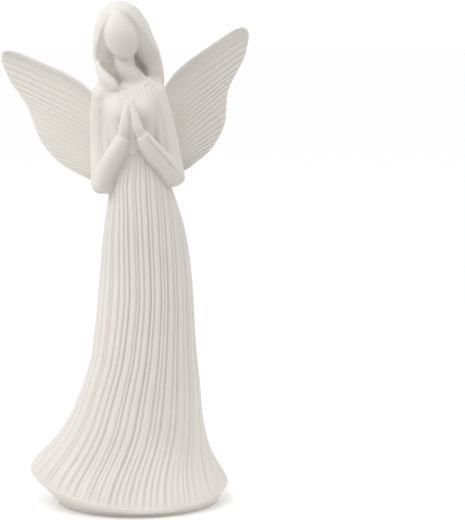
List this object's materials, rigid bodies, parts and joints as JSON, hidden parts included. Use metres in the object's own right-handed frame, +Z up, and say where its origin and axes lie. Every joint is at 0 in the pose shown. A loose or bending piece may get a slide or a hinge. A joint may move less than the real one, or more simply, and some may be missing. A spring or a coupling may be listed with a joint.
{
  "type": "angel figurine",
  "caption": "Standing praying angel figurine in matt white bisque, with a fluted gown, long parted hair and ribbed wings.",
  "frame": {"origin": "centre of the flat underside of the foot", "axes": "+Z up along the standing figure, the figure faces -Y, +X is to the right of a viewer in front of it"},
  "size_m": [0.1506, 0.0961, 0.3],
  "materials": {
    "white_bisque": "matt off-white unglazed bisque with a fine, even grain"
  },
  "bodies": {
    "root": {"angel_figure": "white_bisque"}
  },
  "joints": []
}
